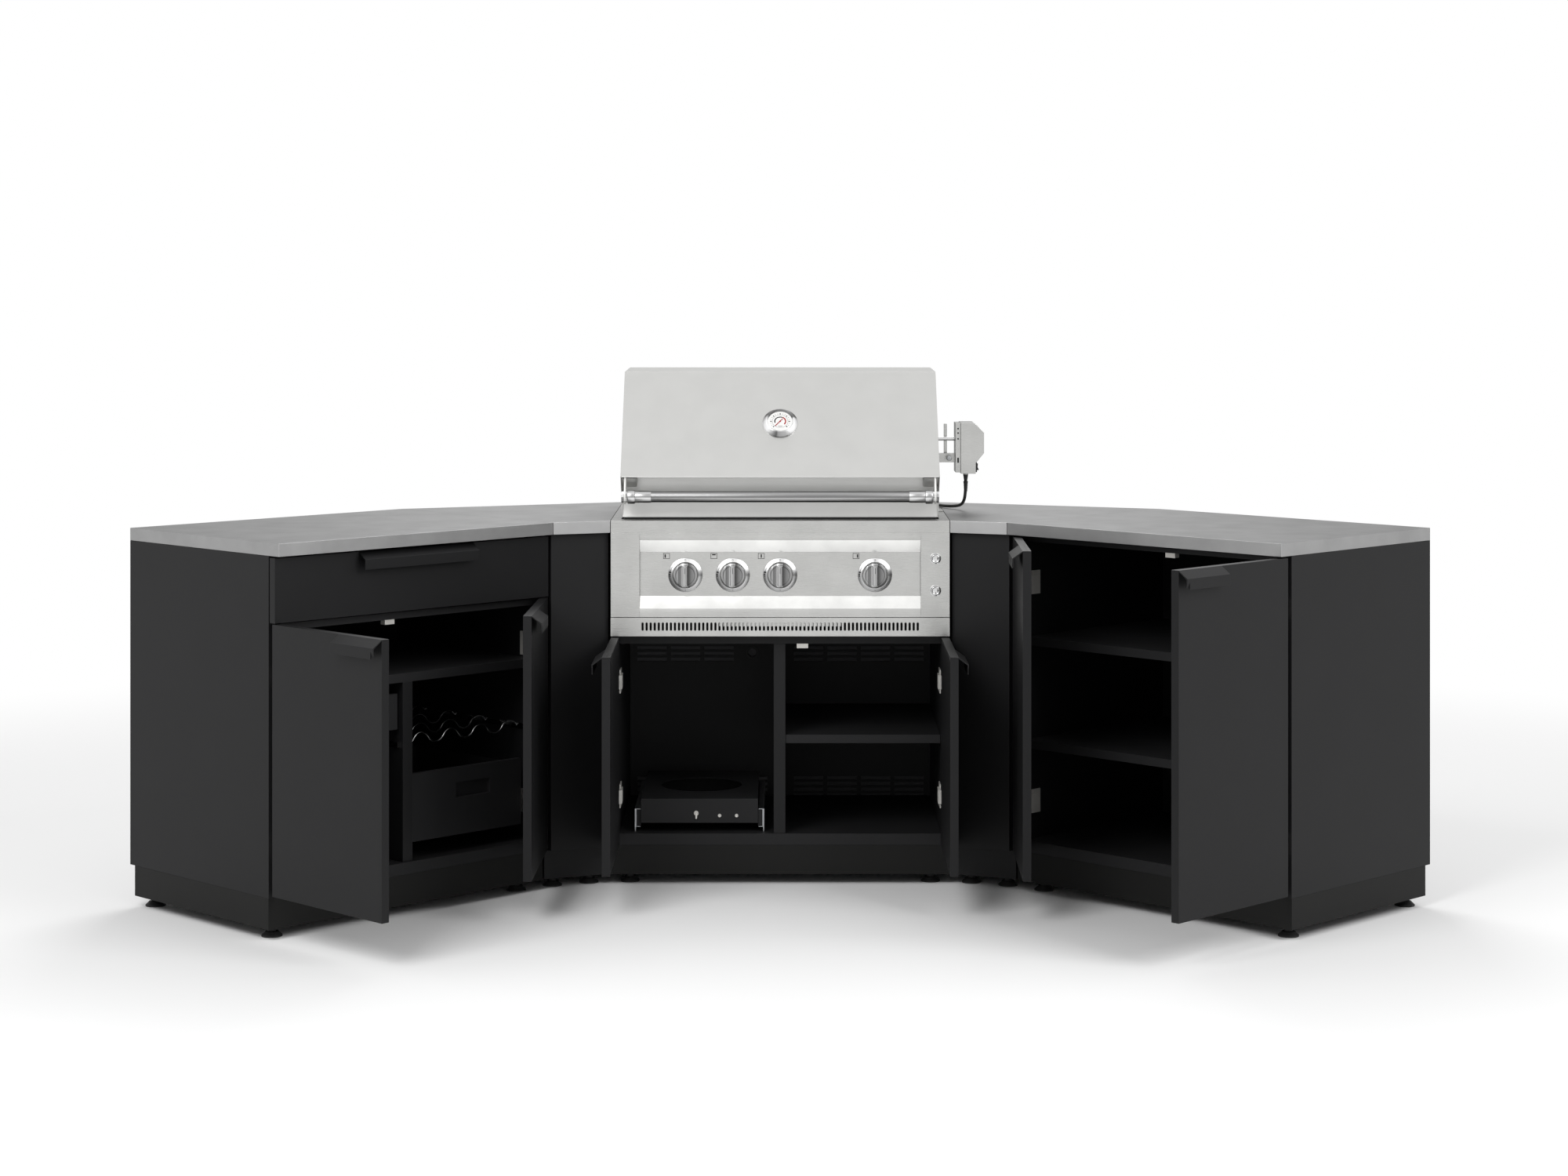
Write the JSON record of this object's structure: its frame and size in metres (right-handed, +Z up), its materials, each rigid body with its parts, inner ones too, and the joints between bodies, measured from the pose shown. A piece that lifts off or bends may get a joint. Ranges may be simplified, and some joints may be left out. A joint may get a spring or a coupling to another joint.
{
  "type": "outdoor kitchen island",
  "caption": "Bent-plan outdoor kitchen island with a built-in gas grill, rotisserie motor, storage wings with doors, drawers and shelves under steel worktops.",
  "frame": {"origin": "on the floor, at the centre of the island's outline without its cord", "axes": "+X to the cook's right along the island's length, -Y towards the cook, +Z up"},
  "size_m": [3.1064, 1.6528, 1.262],
  "materials": {
    "black_powder_coat": "satin",
    "brushed_stainless": "brushed",
    "polished_stainless": "bright",
    "zinc_steel": "plated",
    "black_rubber": "matte",
    "black_plastic": "matte"
  },
  "bodies": {
    "frame": {"back_panels": "black_powder_coat", "bottle_rack": "zinc_steel", "burners": "polished_stainless", "catches_and_clips": "zinc_steel", "control_panel": "brushed_stainless", "cooking_grates": "polished_stainless", "cord_coil": "black_plastic", "cord_tie": "black_plastic", "corner_panels": "black_powder_coat", "deck_frame": "brushed_stainless", "dividers": "black_powder_coat", "drip_tray": "zinc_steel", "firebox": "brushed_stainless", "floor_panels": "black_powder_coat", "gas_manifold": "zinc_steel", "hinge_arms": "zinc_steel", "hood_pivots": "zinc_steel", "hose_grommet": "black_rubber", "knob_bezels": "polished_stainless", "left_corner_worktop": "brushed_stainless", "left_worktop": "brushed_stainless", "levelling_feet": "black_rubber", "motor_cord": "black_plastic", "plinths": "black_powder_coat", "power_plug": "black_plastic", "right_corner_worktop": "brushed_stainless", "right_worktop": "brushed_stainless", "rotisserie_motor": "polished_stainless", "shelves": "black_powder_coat", "side_panels": "black_powder_coat", "slide_rails": "zinc_steel", "spit_brackets": "brushed_stainless", "top_rails": "black_powder_coat", "vent_strip": "brushed_stainless", "warming_rack": "polished_stainless"},
    "left_outer_door": {"left_outer_door": "black_powder_coat"},
    "left_inner_door": {"left_inner_door": "black_powder_coat"},
    "right_outer_door": {"right_outer_door": "black_powder_coat"},
    "right_inner_door": {"right_inner_door": "black_powder_coat"},
    "grill_left_door": {"grill_left_door": "black_powder_coat"},
    "grill_right_door": {"grill_right_door": "black_powder_coat"},
    "top_drawer": {"top_drawer": "black_powder_coat"},
    "bin_drawer": {"bin_drawer": "black_powder_coat"},
    "small_drawer": {"small_drawer": "black_powder_coat"},
    "gas_bottle_tray": {"gas_bottle_tray": "black_powder_coat"},
    "hood": {"hood": "brushed_stainless", "hood_handle": "polished_stainless", "thermometer": "polished_stainless"},
    "spit": {"spit_rod": "polished_stainless"},
    "switch_rocker": {"switch_rocker": "black_plastic"},
    "upper_button": {"upper_button": "polished_stainless"},
    "lower_button": {"lower_button": "polished_stainless"},
    "knob_stem_1": {"knob_stem_1": "zinc_steel"},
    "burner_knob_1": {"burner_knob_1": "polished_stainless"},
    "knob_stem_2": {"knob_stem_2": "zinc_steel"},
    "burner_knob_2": {"burner_knob_2": "polished_stainless"},
    "knob_stem_3": {"knob_stem_3": "zinc_steel"},
    "burner_knob_3": {"burner_knob_3": "polished_stainless"},
    "knob_stem_4": {"knob_stem_4": "zinc_steel"},
    "burner_knob_4": {"burner_knob_4": "polished_stainless"}
  },
  "joints": [
    {"name": "left_outer_door_swing", "type": "hinge", "parent": "frame", "child": "left_outer_door", "pos_m": [-1.139, -0.45788, 0.4], "axis": [0, 0, -1], "range_deg": [-90, 15]},
    {"name": "left_inner_door_swing", "type": "hinge", "parent": "frame", "child": "left_inner_door", "pos_m": [-0.57261, 0.10852, 0.4], "axis": [0, 0, 1], "range_deg": [-44, 8]},
    {"name": "right_outer_door_swing", "type": "hinge", "parent": "frame", "child": "right_outer_door", "pos_m": [1.139, -0.45788, 0.4], "axis": [0, 0, 1], "range_deg": [-90, 15]},
    {"name": "right_inner_door_swing", "type": "hinge", "parent": "frame", "child": "right_inner_door", "pos_m": [0.57261, 0.10852, 0.4], "axis": [0, 0, -1], "range_deg": [-46, 7]},
    {"name": "grill_left_door_swing", "type": "hinge", "parent": "frame", "child": "grill_left_door", "pos_m": [-0.411, 0.17546, 0.4], "axis": [0, 0, -1], "range_deg": [-90, 2]},
    {"name": "grill_right_door_swing", "type": "hinge", "parent": "frame", "child": "grill_right_door", "pos_m": [0.411, 0.17546, 0.4], "axis": [0, 0, 1], "range_deg": [-90, 2]},
    {"name": "top_drawer_slide", "type": "slide", "parent": "frame", "child": "top_drawer", "axis": [0.7071, -0.7071, 0], "range_m": [0, 0.42]},
    {"name": "bin_drawer_slide", "type": "slide", "parent": "frame", "child": "bin_drawer", "axis": [0.7071, -0.7071, 0], "range_m": [0, 0.05]},
    {"name": "small_drawer_slide", "type": "slide", "parent": "frame", "child": "small_drawer", "axis": [0.7071, -0.7071, 0], "range_m": [0, 0.34]},
    {"name": "gas_bottle_tray_slide", "type": "slide", "parent": "frame", "child": "gas_bottle_tray", "axis": [0, -1, 0], "range_m": [0, 0.34]},
    {"name": "hood_lift", "type": "hinge", "parent": "frame", "child": "hood", "pos_m": [0, 0.64346, 0.945], "axis": [-1, 0, 0], "range_deg": [0, 65]},
    {"name": "knob_1_push", "type": "slide", "parent": "frame", "child": "knob_stem_1", "axis": [0, 1, 0], "range_m": [0, 0.003], "stiffness_N_per_m": 400},
    {"name": "knob_1_turn", "type": "hinge", "parent": "knob_stem_1", "child": "burner_knob_1", "pos_m": [-0.2332, 0.14346, 0.7675], "axis": [0, -1, 0], "range_deg": [0, 180]},
    {"name": "knob_2_push", "type": "slide", "parent": "frame", "child": "knob_stem_2", "axis": [0, 1, 0], "range_m": [0, 0.003], "stiffness_N_per_m": 400},
    {"name": "knob_2_turn", "type": "hinge", "parent": "knob_stem_2", "child": "burner_knob_2", "pos_m": [-0.1166, 0.14346, 0.7675], "axis": [0, -1, 0], "range_deg": [0, 180]},
    {"name": "knob_3_push", "type": "slide", "parent": "frame", "child": "knob_stem_3", "axis": [0, 1, 0], "range_m": [0, 0.003], "stiffness_N_per_m": 400},
    {"name": "knob_3_turn", "type": "hinge", "parent": "knob_stem_3", "child": "burner_knob_3", "pos_m": [0, 0.14346, 0.7675], "axis": [0, -1, 0], "range_deg": [0, 180]},
    {"name": "knob_4_push", "type": "slide", "parent": "frame", "child": "knob_stem_4", "axis": [0, 1, 0], "range_m": [0, 0.003], "stiffness_N_per_m": 400},
    {"name": "knob_4_turn", "type": "hinge", "parent": "knob_stem_4", "child": "burner_knob_4", "pos_m": [0.2332, 0.14346, 0.7675], "axis": [0, -1, 0], "range_deg": [0, 180]},
    {"name": "upper_button_push", "type": "slide", "parent": "frame", "child": "upper_button", "axis": [0, 1, 0], "range_m": [0, 0.004], "stiffness_N_per_m": 300},
    {"name": "lower_button_push", "type": "slide", "parent": "frame", "child": "lower_button", "axis": [0, 1, 0], "range_m": [0, 0.004], "stiffness_N_per_m": 300},
    {"name": "spit_turn", "type": "hinge", "parent": "frame", "child": "spit", "pos_m": [0.1, 0.45346, 1.087], "axis": [1, 0, 0], "continuous": true},
    {"name": "switch_rock", "type": "hinge", "parent": "frame", "child": "switch_rocker", "pos_m": [0.5015, 0.45346, 1.015], "axis": [0, 1, 0], "range_deg": [0, 16]}
  ]
}
